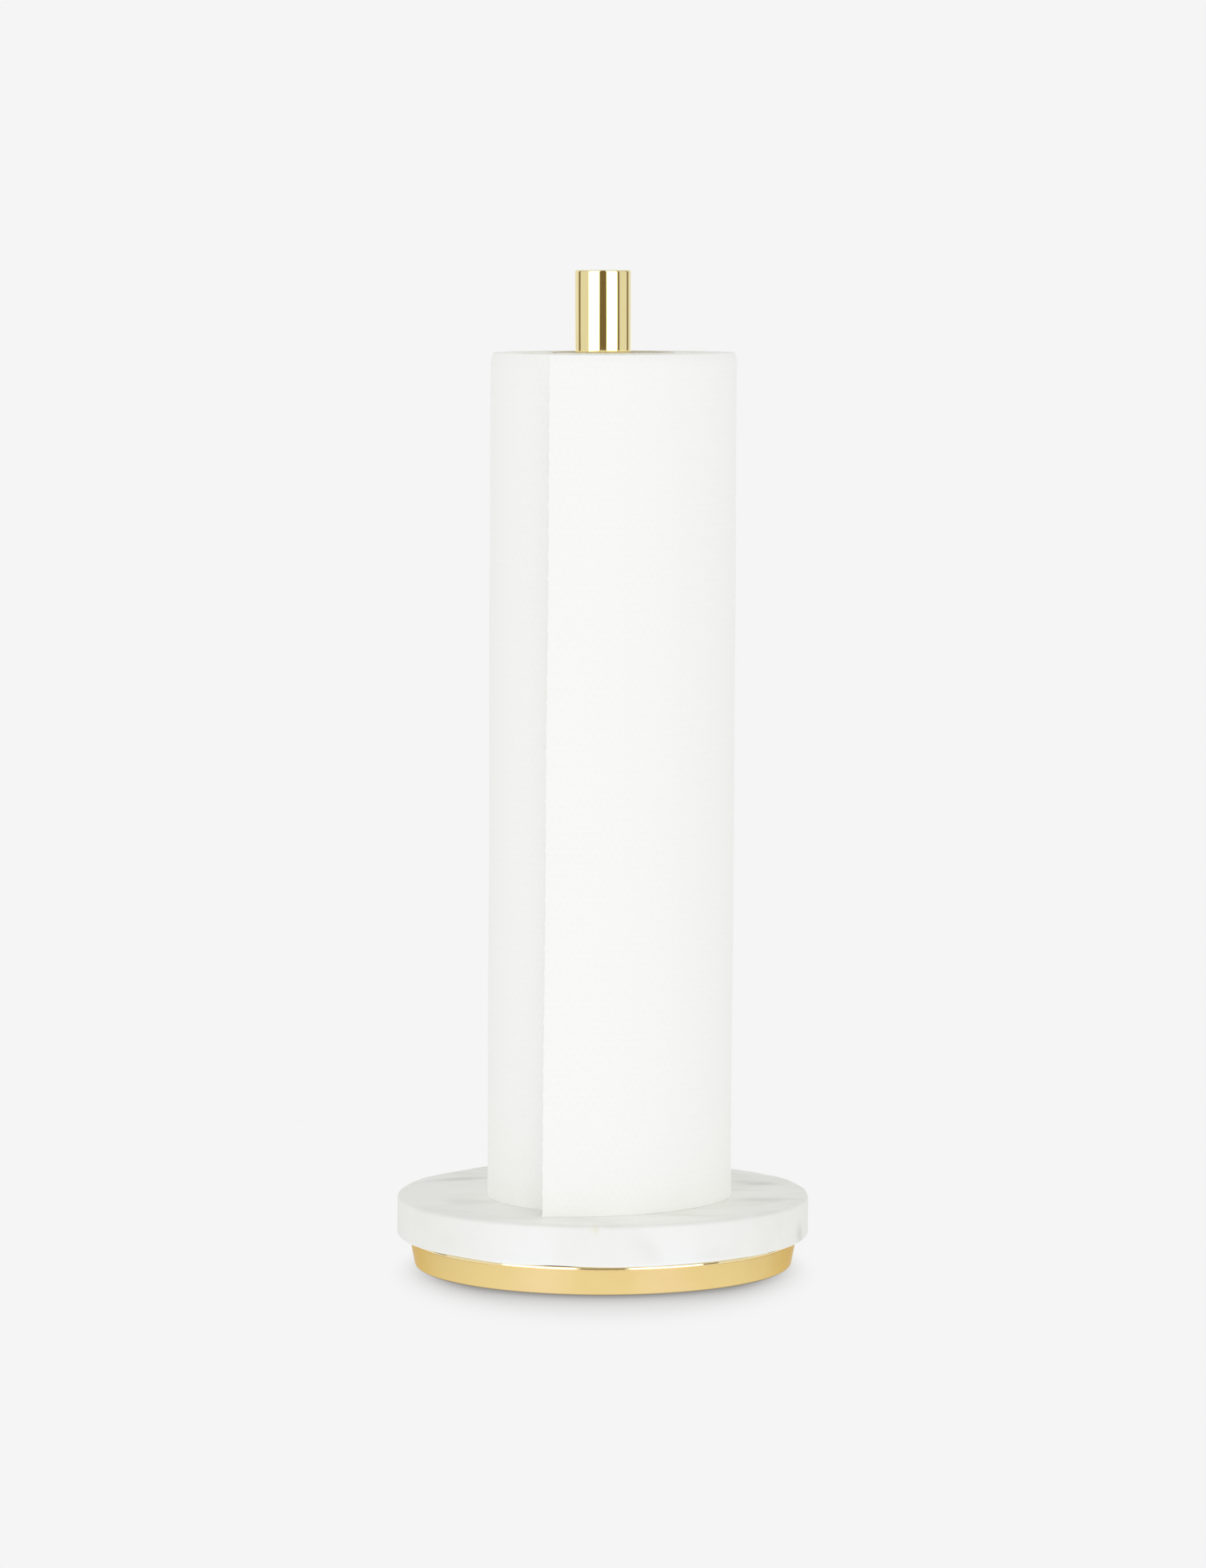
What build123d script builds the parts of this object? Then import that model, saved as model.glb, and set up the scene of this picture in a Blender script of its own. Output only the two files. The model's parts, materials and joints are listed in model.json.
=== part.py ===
from build123d import *

import os
from math import cos, degrees, radians, sin

# Paper towel holder: a marble disc on a tapered metal pan, clamped by a stud to the foot of a
# brass post, with a roll of kitchen paper standing round the post.
# Millimetres. Z is up, the table is Z = 0, the post's axis is X = Y = 0, and the front is -Y.

# Marble disc
marble_radius = 68.4
marble_thickness = 13.7
marble_top_rounding = 1.5
marble_bottom_rounding = 1.2
marble_bore_radius = 4.0

# Pan under the marble
pan_overhang = 3.8  # how far the marble stands out past the pan's rim
pan_taper = 1.8  # how much smaller the pan is at its bottom edge
pan_wall = 2.6  # at the bottom edge
pan_floor = 2.0
pan_crown = 1.8  # thickness of the raised centre that the stud pulls on
pan_edge_ring = 1.6  # width of the bottom edge outside the pad's recess
pan_edge_rounding = 0.5
pan_rim_rounding = 0.6
pan_recess = 0.9  # how deep the pad sits in the pan's underside

# Pad that the stand rests on
pad_proud = 0.3  # how far the pad stands below the pan's edge
pad_side_gap = 0.3

# Gaskets between the pan and the marble
gasket_thickness = 0.5
gasket_inset = 0.8  # how far the rim gasket stays back from the rim's edge
gasket_width = 2.6

# Ballast in the pan
ballast_side_gap = 0.7
ballast_headroom = 0.7

# Clamping stack, M6
stud_radius = 3.0
stud_hole_gap = 0.3
stud_in_foot = 15.0  # length screwed into the post
stud_past_nut = 0.6
stud_chamfer = 0.5
nut_across_flats = 10.0
nut_height = 3.2
nut_inset = 1.2  # how far the nut stays above the pan's edge
nut_corner_slope = 0.5
spring_washer_width = 2.8
spring_washer_thickness = 1.6
spring_washer_slit = 1.2
spring_washer_tilt = 20.0
flat_washer_width = 2.8
flat_washer_thickness = 1.6
washer_hole_gap = 0.2
pocket_gap = 4.5  # room for a socket round the flat washer

# Post
post_radius = 9.2
post_height = 305.7
post_wall = 1.2
post_rounding = 0.5
cap_thickness = 4.0
cap_rounding = 0.3
foot_length = 22.0
foot_hole_spare = 3.0
foot_washer_thickness = 0.6
foot_washer_inset = 0.4

# Roll of paper
roll_height = 279.4
core_radius = 20.0  # inside of the cardboard core
core_wall = 1.0
core_gap = 0.3
paper_radius = 40.2
paper_rounding = 1.2
core_edge_rounding = 0.4
roll_offset = 2.7  # the roll stands this far to the right of the post's axis
roll_forward = 3.2  # and this far to its front
roll_clearance = 0.15  # gap between the roll and the marble

# Last towel, whose free end stands off the roll
sheet_length = 150.0
sheet_thickness = 0.45
sheet_gap = 0.05
tail_angle = 61.0  # degrees to the right of the front, where the tail leaves the roll
tail_curl = 57.6  # length of the tail's curled stretch
tail_radius = 54.0  # of the curl's inside
tail_straight = 9.5  # length of the straight stretch at the free edge

# Heights and radii that follow from the values above
stack_height = nut_height + spring_washer_thickness + flat_washer_thickness
pan_bottom = pad_proud
pad_top = pan_bottom + pan_recess
floor_top = pad_top + pan_floor
nut_bottom = pan_bottom + nut_inset
crown_bottom = nut_bottom + stack_height
pan_top = crown_bottom + pan_crown
marble_bottom = pan_top + gasket_thickness
marble_top = marble_bottom + marble_thickness
post_bottom = marble_top + foot_washer_thickness
post_top = post_bottom + post_height

pan_top_radius = marble_radius - pan_overhang
pan_bottom_radius = pan_top_radius - pan_taper
cavity_radius = pan_bottom_radius - pan_wall
recess_radius = pan_bottom_radius - pan_edge_ring
stud_hole_radius = stud_radius + stud_hole_gap
washer_hole_radius = stud_radius + washer_hole_gap
pocket_radius = washer_hole_radius + flat_washer_width + pocket_gap
crown_radius = pocket_radius + pan_floor
post_bore = post_radius - post_wall

paper_bore = core_radius + core_wall + core_gap
sheet_radius = paper_radius + sheet_gap
tail_turn = tail_curl / tail_radius
roll_place = Pos(roll_offset, -roll_forward, marble_top + roll_clearance)


def turned(corners, rounded=()):
    """Solid turned about Z from (radius, height) corners; rounded lists (corner, rounding radius)."""
    face = make_face(Polyline(*corners, close=True))
    for corner, rounding in rounded:
        nearest = face.vertices().sort_by_distance(corner)[0]
        face = fillet(nearest, rounding)
    return revolve(Plane.XZ * face, Axis.Z)


def ring(inner, outer, bottom, top):
    return turned([(inner, bottom), (outer, bottom), (outer, top), (inner, top)])


def marble_disc():
    bottom_edge = (marble_radius, marble_bottom)
    top_edge = (marble_radius, marble_top)
    corners = [
        (marble_bore_radius, marble_bottom),
        bottom_edge,
        top_edge,
        (marble_bore_radius, marble_top),
    ]
    return turned(corners, [(bottom_edge, marble_bottom_rounding), (top_edge, marble_top_rounding)])


def base_pan():
    bottom_edge = (pan_bottom_radius, pan_bottom)
    rim_edge = (pan_top_radius, pan_top)
    corners = [
        (stud_hole_radius, crown_bottom),
        (pocket_radius, crown_bottom),
        (pocket_radius, pad_top),
        (recess_radius, pad_top),
        (recess_radius, pan_bottom),
        bottom_edge,
        rim_edge,
        (cavity_radius, pan_top),
        (cavity_radius, floor_top),
        (crown_radius, floor_top),
        (crown_radius, pan_top),
        (stud_hole_radius, pan_top),
    ]
    return turned(corners, [(bottom_edge, pan_edge_rounding), (rim_edge, pan_rim_rounding)])


def rim_gasket():
    outer = pan_top_radius - gasket_inset
    return ring(outer - gasket_width, outer, pan_top, marble_bottom)


def centre_gasket():
    return ring(marble_bore_radius, crown_radius, pan_top, marble_bottom)


def base_pad():
    return ring(pocket_radius, recess_radius - pad_side_gap, 0, pad_top)


def ballast_ring():
    inner = crown_radius + ballast_side_gap
    outer = cavity_radius - ballast_side_gap
    return ring(inner, outer, floor_top, pan_top - ballast_headroom)


def clamp_stud():
    bottom = nut_bottom - stud_past_nut
    top = post_bottom + stud_in_foot
    tip_radius = stud_radius - stud_chamfer
    return turned(
        [
            (0, bottom),
            (tip_radius, bottom),
            (stud_radius, bottom + stud_chamfer),
            (stud_radius, top - stud_chamfer),
            (tip_radius, top),
            (0, top),
        ]
    )


def clamp_nut():
    flat_radius = nut_across_flats / 2
    corner_radius = flat_radius / cos(radians(30))
    slope = (corner_radius - flat_radius) * nut_corner_slope
    blank = extrude(RegularPolygon(flat_radius, 6, major_radius=False), nut_height)
    envelope = turned(
        [
            (stud_radius, 0),
            (flat_radius, 0),
            (corner_radius, slope),
            (corner_radius, nut_height - slope),
            (flat_radius, nut_height),
            (stud_radius, nut_height),
        ]
    )
    return Pos(0, 0, nut_bottom) * (blank & envelope)


def spring_washer():
    bottom = nut_bottom + nut_height
    top = bottom + spring_washer_thickness
    outer = washer_hole_radius + spring_washer_width
    slit = Box(outer, spring_washer_slit, 2 * spring_washer_thickness)
    place = Location((outer / 2 + washer_hole_radius / 2, 0, (bottom + top) / 2), (spring_washer_tilt, 0, 0))
    return ring(washer_hole_radius, outer, bottom, top) - place * slit


def flat_washer():
    return ring(
        washer_hole_radius,
        washer_hole_radius + flat_washer_width,
        crown_bottom - flat_washer_thickness,
        crown_bottom,
    )


def foot_washer():
    return ring(marble_bore_radius, post_radius - foot_washer_inset, marble_top, post_bottom)


def post_tube():
    top_edge = (post_radius, post_top)
    corners = [(post_bore, post_bottom), (post_radius, post_bottom), top_edge, (post_bore, post_top)]
    return turned(corners, [(top_edge, post_rounding)])


def post_cap():
    bottom = post_top - cap_thickness
    top_edge = (post_bore, post_top)
    corners = [(0, bottom), (post_bore, bottom), top_edge, (0, post_top)]
    return turned(corners, [(top_edge, cap_rounding)])


def post_foot():
    hole_top = post_bottom + stud_in_foot + foot_hole_spare
    top = post_bottom + foot_length
    return turned(
        [
            (stud_radius, post_bottom),
            (post_bore, post_bottom),
            (post_bore, top),
            (0, top),
            (0, hole_top),
            (stud_radius, hole_top),
        ]
    )


def core_tube():
    return roll_place * ring(core_radius, core_radius + core_wall, 0, roll_height)


def towel_roll():
    outer_edges = [(paper_radius, 0), (paper_radius, roll_height)]
    inner_edges = [(paper_bore, 0), (paper_bore, roll_height)]
    corners = [inner_edges[0], outer_edges[0], outer_edges[1], inner_edges[1]]
    rounded = [(edge, paper_rounding) for edge in outer_edges]
    rounded += [(edge, core_edge_rounding) for edge in inner_edges]
    return roll_place * turned(corners, rounded)


def loose_sheet():
    """A towel that hugs the right of the roll from its back to tail_angle, then curls on loosely."""
    hug_angle = degrees((sheet_length - tail_curl - tail_straight) / sheet_radius)
    start = tail_angle - 90
    end = start - degrees(tail_turn)
    outward = Vector(cos(radians(start)), sin(radians(start)))
    onward = Vector(sin(radians(end)), -cos(radians(end)))
    curl_centre = outward * (sheet_radius - tail_radius)
    inner_hug = CenterArc((0, 0), sheet_radius, start, hug_angle)
    outer_hug = CenterArc((0, 0), sheet_radius + sheet_thickness, start, hug_angle)
    inner_curl = CenterArc(curl_centre, tail_radius, start, end - start)
    outer_curl = CenterArc(curl_centre, tail_radius + sheet_thickness, start, end - start)
    inner_straight = Line(inner_curl @ 1, inner_curl @ 1 + onward * tail_straight)
    outer_straight = Line(outer_curl @ 1, outer_curl @ 1 + onward * tail_straight)
    free_edge = Line(inner_straight @ 1, outer_straight @ 1)
    held_edge = Line(inner_hug @ 1, outer_hug @ 1)
    inner = inner_hug + inner_curl + inner_straight
    outer = outer_hug + outer_curl + outer_straight
    return roll_place * extrude(make_face(inner + outer + free_edge + held_edge), roll_height)


parts = [
    marble_disc,
    base_pan,
    rim_gasket,
    centre_gasket,
    base_pad,
    ballast_ring,
    clamp_stud,
    clamp_nut,
    spring_washer,
    flat_washer,
    foot_washer,
    post_tube,
    post_cap,
    post_foot,
    core_tube,
    towel_roll,
    loose_sheet,
]

os.makedirs("parts", exist_ok=True)
for part in parts:
    export_step(part(), f"parts/{part.__name__}.step")
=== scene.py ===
import json
from math import cos, degrees, hypot, pi, radians, sin

import bmesh
import bpy
from mathutils import Matrix, Vector, noise

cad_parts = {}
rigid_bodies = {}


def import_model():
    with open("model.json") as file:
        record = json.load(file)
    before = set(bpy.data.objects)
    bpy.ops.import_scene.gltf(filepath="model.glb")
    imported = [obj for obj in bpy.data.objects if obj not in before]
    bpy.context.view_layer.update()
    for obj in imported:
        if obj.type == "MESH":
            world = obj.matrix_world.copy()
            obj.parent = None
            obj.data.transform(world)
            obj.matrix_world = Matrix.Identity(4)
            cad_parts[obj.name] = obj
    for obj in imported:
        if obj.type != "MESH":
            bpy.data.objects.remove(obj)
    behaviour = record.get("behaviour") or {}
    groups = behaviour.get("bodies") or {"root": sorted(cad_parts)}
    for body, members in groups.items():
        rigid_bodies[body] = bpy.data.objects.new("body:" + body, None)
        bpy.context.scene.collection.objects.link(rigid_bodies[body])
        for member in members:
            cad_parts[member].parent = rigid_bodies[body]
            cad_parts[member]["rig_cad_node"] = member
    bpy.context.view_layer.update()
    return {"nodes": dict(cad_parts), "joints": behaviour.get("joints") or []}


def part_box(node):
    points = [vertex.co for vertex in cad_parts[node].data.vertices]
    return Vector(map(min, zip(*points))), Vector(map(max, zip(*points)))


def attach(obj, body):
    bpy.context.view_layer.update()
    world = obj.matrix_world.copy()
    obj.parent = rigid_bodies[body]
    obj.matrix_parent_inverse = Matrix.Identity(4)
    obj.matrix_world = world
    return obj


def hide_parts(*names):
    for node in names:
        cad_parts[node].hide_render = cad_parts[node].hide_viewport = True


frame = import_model()
print("frame loaded:", len(frame["nodes"]), "CAD nodes")

mm = 0.001


def deselectAll():
    for other in bpy.context.selected_objects:
        other.select_set(False)


def workOn(piece):
    deselectAll()
    piece.select_set(True)
    bpy.context.view_layer.objects.active = piece


def pickVerts(test):
    mesh = bmesh.from_edit_mesh(bpy.context.object.data)
    bpy.ops.mesh.select_all(action="DESELECT")
    for vert in mesh.verts:
        if test(vert):
            vert.select_set(True)
    mesh.select_flush_mode()
    bmesh.update_edit_mesh(bpy.context.object.data)


def applyModifier(piece, kind, settings):
    workOn(piece)
    modifier = piece.modifiers.new(kind.title(), kind)
    for key, value in settings.items():
        setattr(modifier, key, value)
    bpy.ops.object.modifier_apply(modifier=modifier.name)


def smooth(piece, angle=30):
    workOn(piece)
    bpy.ops.object.shade_smooth_by_angle(angle=radians(angle))


# An outline is drawn corner by corner in the XZ plane, its corners are rounded, and it is spun
# round the post's axis. rounded holds (corner number, radius); divided holds (corner number, cuts)
# for the edge that follows that corner.
def turnedPiece(name, corners, rounded=(), divided=(), steps=192, segments=6):
    deselectAll()
    bpy.ops.mesh.primitive_plane_add(size=mm)
    piece = bpy.context.object
    piece.name = name
    piece.data.name = name
    bpy.ops.object.mode_set(mode="EDIT")
    bpy.ops.mesh.select_mode(type="VERT")
    bpy.ops.mesh.select_all(action="SELECT")
    bpy.ops.mesh.merge(type="CENTER")
    x, z = corners[0]
    bpy.ops.transform.translate(value=(x, 0, z))
    for (x0, z0), (x1, z1) in zip(corners, corners[1:]):
        bpy.ops.mesh.extrude_region_move(TRANSFORM_OT_translate={"value": (x1 - x0, 0, z1 - z0)})
    places = [Vector((x, 0, z)) for x, z in corners]
    near = 1e-6

    def at(*wanted):
        return lambda vert: any((vert.co - place).length < near for place in wanted)

    onAxis = corners[0][0] == 0 and corners[-1][0] == 0
    if not onAxis:
        pickVerts(at(places[0], places[-1]))
        bpy.ops.mesh.edge_face_add()
    for index, cuts in divided:
        pickVerts(at(places[index], places[(index + 1) % len(places)]))
        bpy.ops.mesh.subdivide(number_cuts=cuts)
    for index, radius in rounded:
        pickVerts(at(places[index]))
        bpy.ops.mesh.bevel(offset=radius, segments=segments, affect="VERTICES")
    bpy.ops.mesh.select_all(action="SELECT")
    bpy.ops.mesh.spin(steps=steps, angle=2 * pi, center=(0, 0, 0), axis=(0, 0, 1))
    bpy.ops.mesh.select_all(action="SELECT")
    bpy.ops.mesh.remove_doubles(threshold=near)
    bpy.ops.mesh.normals_make_consistent(inside=False)
    bpy.ops.object.mode_set(mode="OBJECT")
    return piece


class Wire:
    # A socket in a node tree. Sums and products of wires and numbers become Math nodes.
    def __init__(self, paint, socket):
        self.paint = paint
        self.socket = socket

    def maths(self, operation, *others):
        return self.paint.add("Math", {"operation": operation}, dict(enumerate((self, *others))))

    def __add__(self, other):
        return self.maths("ADD", other)

    def __radd__(self, other):
        return self.maths("ADD", other)

    def __sub__(self, other):
        return self.maths("SUBTRACT", other)

    def __rsub__(self, other):
        return self.paint.add("Math", {"operation": "SUBTRACT"}, {0: other, 1: self})

    def __mul__(self, other):
        return self.maths("MULTIPLY", other)

    def __rmul__(self, other):
        return self.maths("MULTIPLY", other)

    def __truediv__(self, other):
        return self.maths("DIVIDE", other)

    def __pow__(self, other):
        return self.maths("POWER", other)

    def between(self, low, high):
        # 0 below low, 1 above high, smooth between them
        limits = {"Value": self, "From Min": low, "From Max": high}
        return self.paint.add("MapRange", {"interpolation_type": "SMOOTHSTEP"}, limits)


class Paint:
    # A material or a world whose nodes are made by add().
    def __init__(self, owner):
        self.owner = owner
        owner.use_nodes = True
        self.tree = owner.node_tree
        self.tree.nodes.clear()

    def add(self, kind, settings=None, sockets=None, out=0):
        node = self.tree.nodes.new("ShaderNode" + kind)
        for key, value in (settings or {}).items():
            setattr(node, key, value)
        for key, value in (sockets or {}).items():
            if isinstance(value, Wire):
                self.tree.links.new(value.socket, node.inputs[key])
            else:
                node.inputs[key].default_value = value
        return Wire(self, node.outputs[out]) if node.outputs else node

    def objectPoint(self):
        return self.add("TexCoord", out="Object")

    def split(self, vector):
        return [self.add("SeparateXYZ", sockets={0: vector}, out=axis) for axis in range(3)]

    def join(self, x, y, z):
        return self.add("CombineXYZ", sockets={0: x, 1: y, 2: z})

    def grain(self, point, scale, detail=3.0, roughness=0.5, distortion=0.0):
        sockets = {
            "Vector": point,
            "Scale": scale,
            "Detail": detail,
            "Roughness": roughness,
            "Distortion": distortion,
        }
        return self.add("TexNoise", sockets=sockets)

    def mixColour(self, share, first, second):
        return self.add("Mix", {"data_type": "RGBA"}, {0: share, 6: first, 7: second}, out=2)

    def bump(self, height, strength, distance):
        sockets = {"Height": height, "Strength": strength, "Distance": distance}
        return self.add("Bump", sockets=sockets)

    def surface(self, **sockets):
        named = {key.replace("_", " "): value for key, value in sockets.items()}
        shader = self.add("BsdfPrincipled", sockets=named)
        self.add("OutputMaterial", sockets={"Surface": shader})


def newPaint(name):
    return Paint(bpy.data.materials.new(name))


def rgb(red, green, blue):
    # screen values of 0 to 255 as the linear colour that a socket takes
    def linear(value):
        share = value / 255
        return share / 12.92 if share <= 0.04045 else ((share + 0.055) / 1.055) ** 2.4

    return (linear(red), linear(green), linear(blue), 1)


def dress(piece, paint, body):
    piece.data.materials.clear()
    piece.data.materials.append(paint.owner)
    if "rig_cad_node" not in piece:
        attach(piece, body)


marble = {
    "topRounding": 1.5 * mm,
    "bottomRounding": 1.2 * mm,
    "bore": 4 * mm,
    "steps": 256,
    "waviness": 0.35 * mm,  # how far hand finishing leaves the surface off true
    "waveLength": 22 * mm,
    "easedWidth": 4 * mm,
    "chipDepth": 0.7 * mm,
    "chipWidth": 1.9 * mm,
    "chipPlace": (-2 * mm, -68 * mm, 22.6 * mm),
    "white": rgb(240, 241, 236),
    "cloud": rgb(231, 232, 225),
    "vein": rgb(180, 182, 177),
    "cloudsDarkenTopAsShade": 0.65,  # how much fainter the clouds are below the top; keeping them strong on the top is painted shade that darkens the top
    "paintedTopShade": 0.07,  # painted shade: how much greyer the top is painted than the side
    "beddingTurn": (0.2, 0.1, 0.6),  # how the stone's layers lie, as turns about X, Y and Z
    "beddingScale": (1, 2.4, 1.5),
    "sway": (0.016, 0.016, 0.012),  # how far eddies push the veins and patches about
    "veinsFront": -0.035,  # the veins grow from here
    "veinsBack": 0.03,  # to here, from the stand's front to its back
    "stain": rgb(226, 220, 186),
    # grey patches in the stone: middle, reach and turn about Z, in mm and degrees, and strength
    "patches": [
        ((65, -22, 13.5), (3.5, 8, 7), 20, 0.4),
        ((28, -46, 24), (17, 5, 3), -8, 0.25),
        ((-45, -18, 24), (12, 9, 4), 30, 0.2),
        ((-48, 28, 24), (16, 5, 4), 28, 0.45),
        ((52, 20, 24), (15, 6, 4), -30, 0.45),
        ((55, -16, 24), (13, 7, 4), -10, 0.3),
        ((17, -68, 15), (11, 3, 6), 0, 0.08),
        ((36, -58, 13), (8, 5, 4), 30, 0.08),
        ((-50, -46, 14), (9, 6, 5), -40, 0.06),
    ],
}


def paintMarble(top):
    paint = newPaint("whiteMarble")
    point = paint.objectPoint()
    eddies = paint.add("TexNoise", sockets={"Vector": point, "Scale": 34, "Detail": 4}, out="Color")
    middle = (-0.5, -0.5, -0.5)
    eddies = paint.add("VectorMath", {"operation": "ADD"}, {0: eddies, 1: middle})
    swayed = {0: eddies, 1: marble["sway"], 2: point}
    warped = paint.add("VectorMath", {"operation": "MULTIPLY_ADD"}, swayed)
    grey = 0
    for place, reach, turn, strength in marble["patches"]:
        inPatch = paint.add(
            "Mapping",
            {"vector_type": "TEXTURE"},
            {
                "Vector": warped,
                "Location": [part * mm for part in place],
                "Rotation": (0, 0, radians(turn)),
                "Scale": [part * mm for part in reach],
            },
        )
        away = paint.add("VectorMath", {"operation": "LENGTH"}, {0: inPatch}, out="Value")
        grey = (1 - away.between(0.1, 1.1)) * strength + grey

    # fine veins, mostly at the back of this piece of stone
    _, y, z = paint.split(point)
    bedding = {"Vector": warped, "Rotation": marble["beddingTurn"], "Scale": marble["beddingScale"]}
    lying = paint.add("Mapping", sockets=bedding)
    edges = paint.add("TexVoronoi", {"feature": "DISTANCE_TO_EDGE"}, {"Vector": lying, "Scale": 15})
    veins = (1 - edges.between(0.0, 0.05)) * paint.grain(point, 22, 2).between(0.48, 0.66)
    veins = veins * (y.between(marble["veinsFront"], marble["veinsBack"]) * 0.55 + 0.05)
    clouds = paint.grain(lying, 20, 5, 0.62, 0.8).between(0.42, 0.7)
    # painted shade: the top is painted darker than the side, as if less light fell on it from above
    shadedTop = z.between(top - marble["topRounding"], top - 0.1 * mm)
    clouds = clouds * (shadedTop * marble["cloudsDarkenTopAsShade"] + (1 - marble["cloudsDarkenTopAsShade"]))

    spot = paint.add(
        "VectorMath", {"operation": "DISTANCE"}, {0: warped, 1: marble["chipPlace"]}, out="Value"
    )
    stain = (1 - spot.between(0.0008, 0.0042)) * paint.grain(point, 320, 2).between(0.38, 0.6)
    base = paint.mixColour(clouds, marble["white"], marble["cloud"])
    # the top is also greyed here as painted shade
    base = paint.mixColour(grey + veins * 0.6 + shadedTop * marble["paintedTopShade"], base, marble["vein"])
    base = paint.mixColour(stain * 0.75, base, marble["stain"])
    crystals = paint.grain(point, 1400, 2)
    paint.surface(
        Base_Color=base,
        Roughness=paint.grain(point, 90, 3) * 0.12 + 0.36,
        Normal=paint.bump(crystals, 0.08, 0.0002),
        Specular_IOR_Level=0.35,
    )
    return paint


def makeMarble():
    low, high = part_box("marble_disc")
    bore = marble["bore"]
    corners = [(bore, low.z), (high.x, low.z), (high.x, high.z), (bore, high.z)]
    disc = turnedPiece(
        "marbleDisc",
        corners,
        rounded=[(1, marble["bottomRounding"]), (2, marble["topRounding"])],
        divided=[(0, 8), (1, 5), (2, 16)],
        steps=marble["steps"],
    )
    # the stone was cut and eased by hand, so its edge wanders a little
    clouds = bpy.data.textures.new("stoneWander", "CLOUDS")
    clouds.noise_scale = marble["waveLength"]
    edge = disc.vertex_groups.new(name="edge")
    inside = high.x - marble["easedWidth"]
    outer = [v.index for v in disc.data.vertices if hypot(v.co.x, v.co.y) > inside]
    edge.add(outer, 1, "REPLACE")
    wander = {
        "texture": clouds,
        "strength": marble["waviness"] * 2,
        "mid_level": 0.5,
        "vertex_group": edge.name,
    }
    applyModifier(disc, "DISPLACE", wander)
    chip = Vector(marble["chipPlace"])
    for vert in disc.data.vertices:
        away = (vert.co - chip).length / marble["chipWidth"]
        if away < 1:
            vert.co += Vector((0, 1, -0.4)) * marble["chipDepth"] * (1 - away * away)
    smooth(disc, 40)
    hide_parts("marble_disc")
    dress(disc, paintMarble(high.z), "stand")
    print("marble disc made")


pan = {
    "taper": 1.8 * mm,
    "wall": 2.6 * mm,
    "floor": 2 * mm,
    "crown": 1.8 * mm,
    "edgeRing": 1.6 * mm,
    "edgeRounding": 0.5 * mm,
    "lipHeight": 0.95 * mm,  # polished band round the rim
    "lipLean": 0.12 * mm,  # how far the band leans in towards its top
    "lipRounding": 0.4 * mm,
    "grooveHeight": 0.18 * mm,  # fine line under the band
    "grooveDepth": 0.16 * mm,
    "pocketRadius": 10.5 * mm,
    "studHole": 3.3 * mm,
    "fineEdge": 0.3 * mm,
    "colour": rgb(232, 207, 143),
    "deeper": rgb(229, 202, 137),
    "edgeTint": rgb(240, 219, 178),
    "roughness": 0.26,
    "lipColour": rgb(250, 234, 186),
    "lipRoughness": 0.06,
}


def aroundAxis(paint):
    # angle round the post's axis, radius and height, each as a value
    x, y, z = paint.split(paint.objectPoint())
    angle = paint.add("Math", {"operation": "ARCTAN2"}, {0: y, 1: x})
    radius = (x * x + y * y) ** 0.5
    return angle, radius, z


def paintSatinBrass(lipBottom):
    paint = newPaint("satinBrass")
    angle, radius, height = aroundAxis(paint)
    # fine lines left by a belt that ran round the pan
    lines = paint.grain(paint.join(angle * 0.012, radius, height), 5200, 2, 0.6)
    smudge = paint.grain(paint.objectPoint(), 45, 3)
    tone = paint.mixColour(smudge.between(0.35, 0.75), pan["colour"], pan["deeper"])
    onLip = height.between(lipBottom - 0.05 * mm, lipBottom + 0.02 * mm)
    satin = lines * 0.03 + smudge * 0.03 + (pan["roughness"] - 0.03)
    paint.surface(
        Base_Color=paint.mixColour(onLip, tone, pan["lipColour"]),
        Metallic=1.0,
        Roughness=satin * (1 - onLip) + onLip * pan["lipRoughness"],
        Normal=paint.bump(lines, 0.02, 0.00003),
        Specular_Tint=pan["edgeTint"],
    )
    return paint


def makePan():
    low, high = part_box("base_pan")
    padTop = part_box("base_pad")[1].z
    floorTop = padTop + pan["floor"]
    topRadius = high.x
    bottomRadius = topRadius - pan["taper"]
    cavity = bottomRadius - pan["wall"]
    recess = bottomRadius - pan["edgeRing"]
    crownRadius = pan["pocketRadius"] + pan["floor"]
    crownBottom = high.z - pan["crown"]
    lipBottom = high.z - pan["lipHeight"]
    grooveEdge = pan["grooveDepth"] / 3
    grooveBottom = lipBottom - pan["grooveHeight"]
    wallTop = topRadius - pan["taper"] * (high.z - grooveBottom) / (high.z - low.z)
    grooveRadius = wallTop - pan["grooveDepth"]
    fine = pan["fineEdge"]
    outline = [  # each corner's place and rounding
        ((pan["studHole"], crownBottom), 0),
        ((pan["pocketRadius"], crownBottom), 0),
        ((pan["pocketRadius"], padTop), fine),
        ((recess, padTop), 0),
        ((recess, low.z), fine),
        ((bottomRadius, low.z), pan["edgeRounding"]),
        ((wallTop, grooveBottom), grooveEdge),
        ((grooveRadius, grooveBottom), 0),
        ((grooveRadius, lipBottom), 0),
        ((topRadius, lipBottom), grooveEdge),
        ((topRadius - pan["lipLean"], high.z), pan["lipRounding"]),
        ((cavity, high.z), fine),
        ((cavity, floorTop), 0),
        ((crownRadius, floorTop), fine),
        ((crownRadius, high.z), fine),
        ((pan["studHole"], high.z), 0),
    ]
    corners = [place for place, rounding in outline]
    rounded = [(index, rounding) for index, (place, rounding) in enumerate(outline) if rounding]
    piece = turnedPiece("brassPan", corners, rounded, divided=[(5, 2)], steps=256)
    smooth(piece)
    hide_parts("base_pan")
    dress(piece, paintSatinBrass(lipBottom), "stand")
    print("brass pan made")


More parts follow.
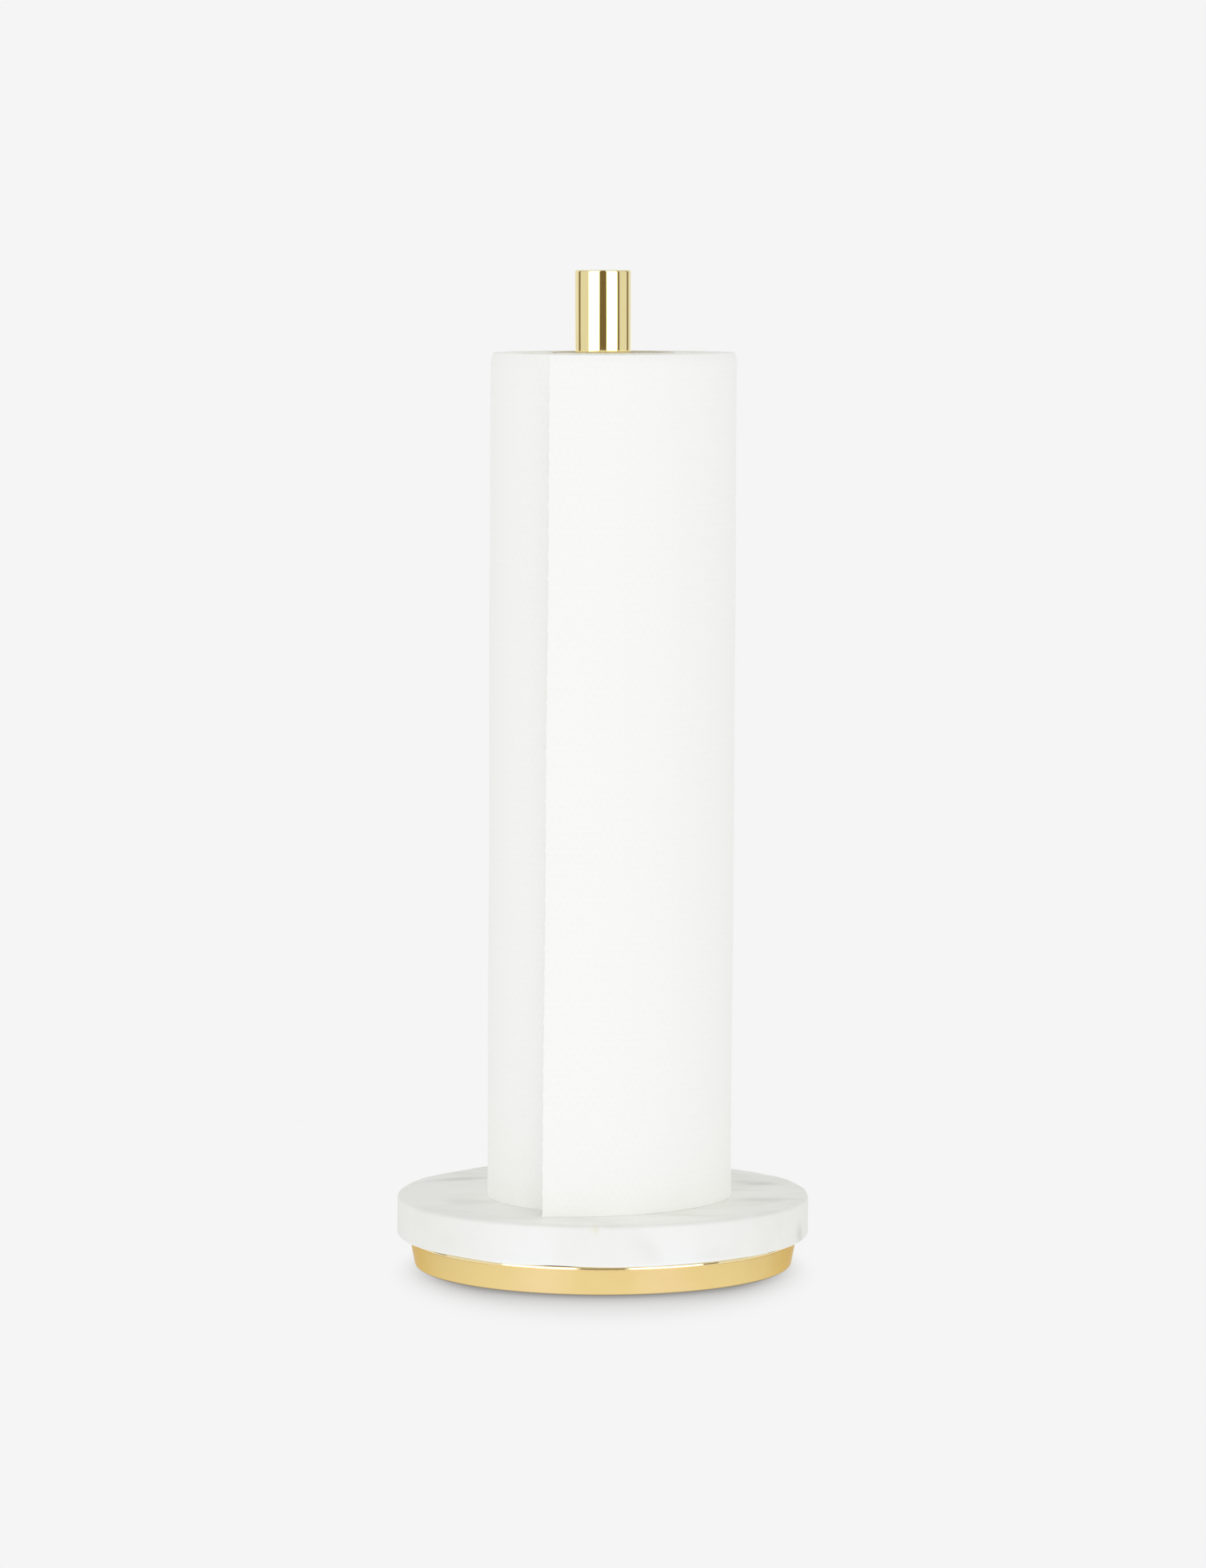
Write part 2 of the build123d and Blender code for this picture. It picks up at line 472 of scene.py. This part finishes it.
soft = {
    "padHole": 10.5 * mm,
    "padRounding": 0.35 * mm,
    "gasketWidth": 2.6 * mm,
    "gasketEdge": 0.12 * mm,
    "foamPore": 0.25 * mm,
    "padPore": 0.5 * mm,
    # black foam; its darkness also stands in for the shaded gap line between the marble and the
    # pan, as painted shade
    "foam": rgb(34, 33, 32),
    "pad": rgb(58, 58, 60),
}


def paintFoam(name, colour, poreSize):
    paint = newPaint(name)
    point = paint.objectPoint()
    pores = paint.add("TexVoronoi", sockets={"Vector": point, "Scale": 1 / poreSize})
    dust = paint.grain(point, 40, 3).between(0.45, 0.8)
    lighter = tuple(min(1, part * 2.2 + 0.02) for part in colour[:3]) + (1,)
    base = paint.mixColour(dust * 0.5 + pores * 0.2, colour, lighter)
    normal = paint.bump(pores, 0.5, poreSize / 2)
    paint.surface(Base_Color=base, Roughness=dust * 0.1 + 0.82, Normal=normal)
    return paint


def makeSoftParts():
    low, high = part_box("rim_gasket")
    inner = high.x - soft["gasketWidth"]
    corners = [(inner, low.z), (high.x, low.z), (high.x, high.z), (inner, high.z)]
    rounded = [(index, soft["gasketEdge"]) for index in range(4)]
    gasket = turnedPiece("rimGasket", corners, rounded, segments=3)
    smooth(gasket, 50)
    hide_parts("rim_gasket")
    # the rim gasket is black foam, and its black is also painted shade for the gap under the marble
    dress(gasket, paintFoam("blackFoamAndGapShade", soft["foam"], soft["foamPore"]), "stand")
    low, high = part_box("base_pad")
    hole = soft["padHole"]
    corners = [(hole, low.z), (high.x, low.z), (high.x, high.z), (hole, high.z)]
    pad = turnedPiece("basePad", corners, [(0, soft["padRounding"]), (1, soft["padRounding"])])
    smooth(pad, 50)
    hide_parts("base_pad")
    dress(pad, paintFoam("greyPad", soft["pad"], soft["padPore"]), "stand")
    print("gasket and pad made")


post = {
    "wall": 1.2 * mm,
    "rounding": 0.5 * mm,
    "capRounding": 0.3 * mm,
    "innerEdge": 0.15 * mm,
    "capGap": 0.02 * mm,  # the fine seam round the cap
    "colour": rgb(250, 234, 174),
    "dulled": rgb(240, 220, 158),
    "roughness": 0.045,
    "lineSpan": 0.0092,  # how much of the tube's radius the polishing lines are spread over
}


def paintPolishedBrass():
    paint = newPaint("polishedBrass")
    angle, radius, height = aroundAxis(paint)
    # polishing lines run up the tube, and fingers have dulled it here and there
    across = angle * post["lineSpan"]
    along = paint.join(across, radius, height * 0.02)
    lines = paint.grain(along, 6000, 2)
    smudge = paint.grain(paint.objectPoint(), 75, 4, 0.6).between(0.5, 0.85)
    roughness = smudge * 0.05 + lines * 0.02 + (post["roughness"] - 0.01)
    tone = paint.mixColour(smudge * 0.3, post["colour"], post["dulled"])
    waves = paint.grain(paint.join(across, radius, height * 0.15), 320, 1)
    normal = paint.bump(waves, 0.05, 0.0004)
    paint.surface(Base_Color=tone, Metallic=1.0, Roughness=roughness, Normal=normal)
    return paint


def makePost():
    low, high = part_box("post_tube")
    outer = high.x
    inner = outer - post["wall"]
    paint = paintPolishedBrass()
    corners = [(inner, low.z), (outer, low.z), (outer, high.z), (inner, high.z)]
    rounded = [(2, post["rounding"]), (3, post["innerEdge"])]
    tube = turnedPiece("postTube", corners, rounded, divided=[(1, 20)], segments=8)
    smooth(tube)
    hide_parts("post_tube")
    dress(tube, paint, "stand")
    low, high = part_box("post_cap")
    edge = inner - post["capGap"]
    corners = [(0, low.z), (edge, low.z), (edge, high.z), (0, high.z)]
    cap = turnedPiece("postCap", corners, [(1, post["capRounding"]), (2, post["capRounding"])])
    smooth(cap)
    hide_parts("post_cap")
    dress(cap, paint, "stand")
    print("post made")


# The paper is one strip. Its angle is counted from the front, towards the right, and grows
# inwards along the strip, which loses one pitch of radius in each turn.
spin = next(joint for joint in frame["joints"] if joint["name"] == "roll_spin")
rollPlace = Matrix.Translation(spin["pos_m"])
paper = {
    "thickness": 0.38 * mm,
    "pitch": 0.45 * mm,
    "height": 279.4 * mm,
    "outerRadius": 40.45 * mm,  # middle of the sheet where its tail leaves the roll
    "innerRadius": 21.35 * mm,
    "tailAngle": 61.0,
    "tailCurl": 57.6 * mm,
    "tailStraight": 10 * mm,
    "tailRadius": 54.2 * mm,  # of the curl's middle
    "tearSkew": 1.2 * mm,  # how much shorter the towel is at its top corner
    "towelLength": 150 * mm,
    "columnsPerTurn": 96,
    "bulge": 0.28 * mm,  # how far the outer turns wander from a true cylinder
    "bulgeTurns": 14,
    "edgeWander": 0.1 * mm,
    "rimCrush": 0.8 * mm,  # how far the outer turns are pressed in at the top rim
    "rimHeight": 3 * mm,
    "settle": 0.1 * mm,  # how far the soft bottom rim sinks towards the marble
    "topSettle": 0.3 * mm,
    "slant": 1.6 * mm,  # how far to the right the outer turns have slipped from bottom to top
    "ripple": 0.5 * mm,  # how far the loose tail waves
    "slit": 0.35 * mm,  # width of the perforation's slits
    "columns": 120,  # of the loose towel's mesh
    "rows": 280,
    "rowsPerBond": 8,
    "white": rgb(247, 247, 244),
    "shade": rgb(240, 240, 235),
    "dotPitch": 2.6 * mm,
}


def stripRadius(angle):
    return paper["outerRadius"] - paper["pitch"] * (angle - paper["tailAngle"]) / 360


def paperPoint(angle, height):
    # where the wound strip lies at an angle in degrees and a height above the roll's bottom
    turnsIn = (angle - paper["tailAngle"]) / 360
    outside = max(0.0, 1 - turnsIn / paper["bulgeTurns"])
    a = radians(angle)
    seed = Vector((sin(a) * 0.9, -cos(a) * 0.9, height * 14))
    radius = stripRadius(angle) + noise.noise(seed) * paper["bulge"] * outside
    rim = (paper["height"] - height) / paper["rimHeight"]
    if rim < 1:
        radius -= paper["rimCrush"] * outside * (1 - rim) ** 2
    unevenness = noise.noise(Vector((sin(a) * 1.7, cos(a) * 1.7, turnsIn * 0.12 + 5)))
    wander = unevenness * paper["edgeWander"]
    share = height / paper["height"]
    lift = (wander - paper["topSettle"]) * share - paper["settle"] * (1 - share)
    woundDepth = paper["outerRadius"] - paper["innerRadius"]
    loose = (stripRadius(angle) - paper["innerRadius"]) / woundDepth
    slip = paper["slant"] * (share - 0.5) * loose
    return Vector((sin(a) * radius + slip, -cos(a) * radius, height + lift))


def paperStrip(name, columns, rows, place):
    # a flat strip of paper; place(share along it, share up it) says where each of its points goes
    deselectAll()
    bpy.ops.mesh.primitive_grid_add(x_subdivisions=columns, y_subdivisions=rows, size=1)
    strip = bpy.context.object
    strip.name = name
    strip.data.name = name
    for vert in strip.data.vertices:
        vert.co = rollPlace @ place(vert.co.x + 0.5, vert.co.y + 0.5)
    return strip


def scaleUv(strip, start, length):
    # the strip's own map in metres, so that the embossing has one size on every strip
    for loop in strip.data.uv_layers.active.data:
        loop.uv = (start + loop.uv[0] * length, loop.uv[1] * paper["height"])


def woundLength(fromAngle, toAngle):
    middle = stripRadius((fromAngle + toAngle) / 2)
    return radians(toAngle - fromAngle) * middle


def paintPaper():
    paint = newPaint("quiltedPaper")
    flat = paint.add("UVMap")
    u, v, _ = paint.split(flat)
    pitch = paper["dotPitch"]
    rowPitch = pitch * 0.866  # rows a triangle's height apart
    # staggered rows of pressed dots
    row = (v / rowPitch).maths("FLOOR")
    shift = row.maths("MODULO", 2) * 0.5
    cellU = (u / pitch + shift).maths("FRACT") - 0.5
    cellV = (v / rowPitch).maths("FRACT") - 0.5
    dot = 1 - ((cellU * cellU + cellV * cellV) ** 0.5).between(0.12, 0.34)
    fibres = paint.grain(flat, 2600, 4, 0.65)
    cloth = paint.grain(flat, 240, 3)
    height = fibres * 0.35 + cloth * 0.4 - dot * 0.8
    tone = paint.mixColour(dot * 0.2 + fibres * 0.25, paper["white"], paper["shade"])
    normal = paint.bump(height, 0.1, 0.00025)
    paint.surface(
        Base_Color=tone,
        Roughness=fibres * 0.1 + 0.85,
        Normal=normal,
        Sheen_Weight=0.12,
        Sheen_Roughness=0.6,
        Specular_IOR_Level=0.25,
    )
    return paint


def makeRoll():
    paint = paintPaper()
    tailLength = paper["tailCurl"] + paper["tailStraight"]
    hug = (paper["towelLength"] - tailLength) / paper["outerRadius"]
    heldAngle = paper["tailAngle"] + degrees(hug)
    lastAngle = (paper["outerRadius"] - paper["innerRadius"]) / paper["pitch"] * 360
    outerEnd = heldAngle + 360
    for name, start, end, perTurn, rows in (
        ("outerTurn", heldAngle, outerEnd, 180, 80),
        ("woundPaper", outerEnd, lastAngle, paper["columnsPerTurn"], 4),
    ):
        span = end - start
        strip = paperStrip(
            name,
            round(span / 360 * perTurn),
            rows,
            lambda along, up: paperPoint(start + along * span, up * paper["height"]),
        )
        scaleUv(strip, paper["towelLength"], woundLength(start, end))
        applyModifier(strip, "SOLIDIFY", {"thickness": paper["thickness"], "offset": 0})
        smooth(strip, 60)
        dress(strip, paint, "roll_paper")
    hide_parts("towel_roll")

    # the last towel hugs the roll's right side, then its tail curls on loosely round the front
    leave = radians(paper["tailAngle"])
    outward = Vector((sin(leave), -cos(leave), 0))
    tailShare = tailLength / paper["towelLength"]
    curlRadius = paper["tailRadius"]

    def towelPoint(share, up):
        height = up * paper["height"]
        # both edges of a towel are perforated: slits with short bonds between them
        bond = round(up * paper["rows"]) % paper["rowsPerBond"] == 0
        if not bond:
            slitShare = paper["slit"] / paper["towelLength"]
            share = min(max(share, slitShare), 1 - slitShare)
        if share > tailShare:
            angle = paper["tailAngle"] + degrees(hug) * (share - tailShare) / (1 - tailShare)
            return paperPoint(angle, height)
        free = 1 - share / tailShare
        run = free * (tailLength - paper["tearSkew"] * up)
        curled = min(run, paper["tailCurl"])
        middle = paperPoint(paper["tailAngle"], height) - outward * curlRadius
        a = leave - curled / curlRadius
        facing = Vector((sin(a), -cos(a), 0))
        onward = Vector((-cos(a), -sin(a), 0))
        ripple = noise.noise(Vector((free * 1.1, up * 3.1, 2.5))) * paper["ripple"]
        return middle + facing * (curlRadius + ripple * free) + onward * (run - curled)

    towel = paperStrip("looseTowel", paper["columns"], paper["rows"], towelPoint)
    scaleUv(towel, 0, paper["towelLength"])
    applyModifier(towel, "SOLIDIFY", {"thickness": paper["thickness"], "offset": 0})
    smooth(towel, 60)
    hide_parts("loose_sheet")
    dress(towel, paint, "roll_paper")
    print("roll made, strip length", round(woundLength(heldAngle, lastAngle), 2), "m")


core = {
    "radius": 20 * mm,
    "wall": 1 * mm,
    "edgeRounding": 0.25 * mm,
    "board": rgb(240, 238, 232),
    "dark": rgb(222, 219, 210),
    "seam": rgb(180, 176, 166),
    "seamPitch": 62 * mm,
}


def paintBoard():
    paint = newPaint("greyBoard")
    point = paint.objectPoint()
    angle, radius, height = aroundAxis(paint)
    # the board is wound from a strip, whose edge climbs round the tube
    climb = (height / core["seamPitch"] + angle / (2 * pi)).maths("FRACT")
    seam = 1 - (climb - 0.5).maths("ABSOLUTE").between(0.0, 0.02)
    fibres = paint.grain(paint.join(angle * 0.02, radius, height * 0.25), 900, 4, 0.7)
    flecks = paint.grain(point, 1500, 2).between(0.62, 0.7)
    base = paint.mixColour(fibres, core["board"], core["dark"])
    base = paint.mixColour(flecks * 0.4 + seam * 0.5, base, core["seam"])
    normal = paint.bump(fibres - seam, 0.3, 0.0002)
    paint.surface(Base_Color=base, Roughness=fibres * 0.1 + 0.82, Normal=normal)
    return paint


def makeCore():
    height = paper["height"]
    inner = core["radius"]
    outer = inner + core["wall"]
    corners = [(inner, 0), (outer, 0), (outer, height), (inner, height)]
    rounded = [(index, core["edgeRounding"]) for index in range(4)]
    tube = turnedPiece("coreTube", corners, rounded, divided=[(1, 30), (3, 30)], segments=3)
    tube.data.transform(rollPlace)
    smooth(tube, 50)
    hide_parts("core_tube")
    dress(tube, paintBoard(), "roll_core")
    print("core made")


def paintSteel(name, colour, dark, roughness, lineScale):
    paint = newPaint(name)
    angle, radius, height = aroundAxis(paint)
    lines = paint.grain(paint.join(angle * 0.01, radius, height), lineScale, 2)
    spots = paint.grain(paint.objectPoint(), 160, 4, 0.6).between(0.5, 0.75)
    base = paint.mixColour(spots * 0.6, colour, dark)
    normal = paint.bump(lines, 0.25, 0.00005)
    paint.surface(
        Base_Color=base,
        Metallic=1.0,
        Roughness=lines * 0.12 + spots * 0.15 + roughness,
        Normal=normal,
    )
    return paint


def paintNylon():
    paint = newPaint("clearNylon")
    haze = paint.grain(paint.objectPoint(), 900, 3)
    tone = paint.mixColour(haze, rgb(226, 228, 226), rgb(206, 209, 208))
    normal = paint.bump(haze, 0.1, 0.0001)
    paint.surface(Base_Color=tone, Roughness=haze * 0.2 + 0.35, Normal=normal)
    return paint


def dressCadNodes():
    zinc = paintSteel("zincPlate", rgb(196, 200, 204), rgb(150, 152, 150), 0.25, 3000)
    raw = paintSteel("rawSteel", rgb(120, 120, 122), rgb(74, 68, 64), 0.4, 1200)
    paints = {
        "clamp_stud": zinc,
        "clamp_nut": zinc,
        "spring_washer": zinc,
        "flat_washer": zinc,
        "ballast_ring": raw,
        "post_foot": raw,
        "foot_washer": paintNylon(),
    }
    for name, paint in paints.items():
        dress(frame["nodes"][name], paint, None)
    gasketSlots = frame["nodes"]["centre_gasket"].data.materials
    gasketSlots.clear()
    gasketSlots.append(bpy.data.materials["blackFoamAndGapShade"])
    print("CAD nodes painted")


studio = {
    "backdrop": 0.913,
    "floorRadius": 2.2,
    "shadowReach": 0.075,
    "shadowMiddle": -0.02,  # the light comes from above and behind, so the shadow lies to the front
    "shadowSpan": (0.073, 0.118),  # half its width and half its depth
    "shadowTone": (0.29, 0.278, 0.262, 1),
    "shadowStrength": 1.3,
    "standRim": (0.0605, 0.0635),  # radii between which the floor under the stand is painted dark, as shade
    "farFloor": (0.12, 0.2),  # radii between which the rear boxes' light on the floor sets in
    "brown": (0.19, 0.14, 0.07, 1),
    "ambient": 0.86,
    "frontLight": 0.25,
    "ceiling": 0.5,  # dimmer than the walls
    "fill": 0.35,  # how much more light reaches what is lit by way of other surfaces
    "floorLight": 0.86,
    "walls": 0.8,
    "backWall": 0.06,
    "boxes": 1.8,
    "rearBoxes": 0.45,
}


# What the brass mirrors is laid out round the room: from and to, in degrees from the camera's side,
# and how soft the ends are, as a share of a half turn. Left is negative where a side matters.
room = {
    "boxes": (16, 61, 0.006),
    "gapBesideBox": (61, 72, 0.004),
    "gapLeft": (-120, -106, 0.008),
    "gapRight": (115, 130, 0.008),
    "backWall": (118, 124),
    "rearBoxes": (155, 172, 0.006),
    "rearGaps": (147, 152, 0.004),
    "rearMiddle": (173, 176),
    "floorPools": (12, 30, 0.04),
    "floorFront": (20, 100),
}


def band(angle, name):
    low, high, soft = room[name]
    low, high = low / 180, high / 180
    return angle.between(low - soft, low + soft) * (1 - angle.between(high - soft, high + soft))


def past(angle, name):
    low, high = room[name]
    return angle.between(low / 180, high / 180)


def aroundRoom(paint, x, y):
    # a direction's angle from the camera's side, as a share of the half turn to the backdrop
    return paint.add("Math", {"operation": "ARCTAN2"}, {0: x, 1: y * -1}) / pi


def rearBoxes(side):
    # two soft boxes behind the stand, and the dark gaps between and beside them
    return band(side, "rearBoxes"), band(side, "rearGaps") + past(side, "rearMiddle")


def fillLight(paint):
    # pale paper and stone pass light on to each other's shaded places; a ray that lands here has a
    # depth of 2 after one surface and 3 after two
    bounces = paint.add("LightPath", out="Ray Depth")
    return bounces.between(2.4, 2.6) * studio["fill"] + 1


def makeFloor():
    deselectAll()
    bpy.ops.mesh.primitive_circle_add(vertices=96, radius=studio["floorRadius"], fill_type="NGON")
    floor = bpy.context.object
    floor.name = "floor"
    paint = newPaint("floorPaper")
    x, y, _ = paint.split(paint.objectPoint())
    # what the camera sees: a seamless backdrop with a soft shadow round the stand
    level = studio["backdrop"]
    plain = (level, level, level, 1)
    reach = {"Distance": studio["shadowReach"]}
    openness = paint.add("AmbientOcclusion", {"samples": 16}, reach, out="AO")
    halfWidth, halfDepth = studio["shadowSpan"]
    across = x / halfWidth
    along = (y - studio["shadowMiddle"]) / halfDepth
    away = (across * across + along * along) ** 0.5
    shade = (1 - openness) * (1 - away.between(0.6, 1.0)) * studio["shadowStrength"]
    seen = paint.mixColour(shade, plain, studio["shadowTone"])
    # what the brass mirrors and what lights the stand: pools of light under the two soft boxes
    side = aroundRoom(paint, x, y).maths("ABSOLUTE")
    pools = band(side, "floorPools")
    front = 1 - past(side, "floorFront")
    radius = (x * x + y * y) ** 0.5
    # painted shade: the floor under the stand is dark in what the brass mirrors
    shadeUnderStand = 1 - radius.between(*studio["standRim"])
    rear, rearGaps = rearBoxes(side)
    distant = radius.between(*studio["farFloor"])
    lit = pools * 0.05 + front * 0.18 + rear * distant * studio["rearBoxes"] + studio["floorLight"]
    lit = lit * (1 - rearGaps * distant * 0.6)
    mirrored = lit * (1 - shadeUnderStand * 0.92) * fillLight(paint)
    cooler = mirrored * (pools * 0.14 + 1)
    seenByCamera = paint.add("LightPath", out="Is Camera Ray")
    colour = paint.mixColour(seenByCamera, paint.join(mirrored, mirrored, cooler), seen)
    glow = paint.add("Emission", sockets={"Color": colour})
    paint.add("OutputMaterial", sockets={"Surface": glow})
    floor.data.materials.append(paint.owner)
    paint.owner.cycles.emission_sampling = "NONE"


def makeWorld():
    # the brass mirrors two tall soft boxes with the dark camera between them and a dark gap
    # beside each, and a fainter pair behind; everything else is lit by an even room, a little
    # stronger from the front
    world = bpy.data.worlds.new("studio")
    bpy.context.scene.world = world
    paint = Paint(world)
    x, y, z = paint.split(paint.add("TexCoord", out="Generated"))
    place = aroundRoom(paint, x, y)
    side = place.maths("ABSOLUTE")
    boxes = band(side, "boxes")
    backWall = past(side, "backWall")
    below = 1 - z.between(-0.03, -0.01)
    rear, rearGaps = rearBoxes(side)
    mirror = boxes * studio["boxes"] + backWall * studio["backWall"] + studio["walls"]
    mirror = mirror + rear * below * studio["rearBoxes"]
    gaps = band(place, "gapBesideBox") + band(place, "gapLeft") + band(place, "gapRight")
    gaps = gaps + rearGaps * below
    cameraSide = 1 - side.between(0.068, 0.082)
    overhead = z.between(0.84, 0.92)
    dark = (cameraSide + gaps * 0.9 + overhead * 0.8).maths("MINIMUM", 1)
    mirrored = paint.mixColour(dark, paint.join(mirror, mirror, mirror), studio["brown"])

    even = (y * -1).maths("MAXIMUM", 0) * studio["frontLight"] + studio["ambient"]
    even = (even * (1 - overhead) + overhead * studio["ceiling"]) * fillLight(paint)
    inMirror = paint.add("LightPath", out="Is Glossy Ray")
    light = paint.mixColour(inMirror, paint.join(even, even, even), mirrored)
    level = studio["backdrop"]
    seenByCamera = paint.add("LightPath", out="Is Camera Ray")
    light = paint.mixColour(seenByCamera, light, (level, level, level, 1))
    background = paint.add("Background", sockets={"Color": light})
    paint.add("OutputWorld", sockets={"Surface": background})
    world.cycles.sampling_method = "NONE"


view = {
    "lens": 137.92,
    "place": (0, -1.982, 0.343),
    "pitch": 5.26,  # degrees below level
}


def makeCamera():
    data = bpy.data.cameras.new("camera")
    data.lens = view["lens"]
    data.sensor_width = 36
    camera = bpy.data.objects.new("camera", data)
    camera.location = view["place"]
    camera.rotation_euler = (radians(90 - view["pitch"]), 0, 0)
    bpy.context.scene.collection.objects.link(camera)
    bpy.context.scene.camera = camera
    bpy.context.scene.view_settings.view_transform = "Standard"


makeMarble()
makePan()
makeSoftParts()
makePost()
makeRoll()
makeCore()
dressCadNodes()
makeFloor()
makeWorld()
makeCamera()
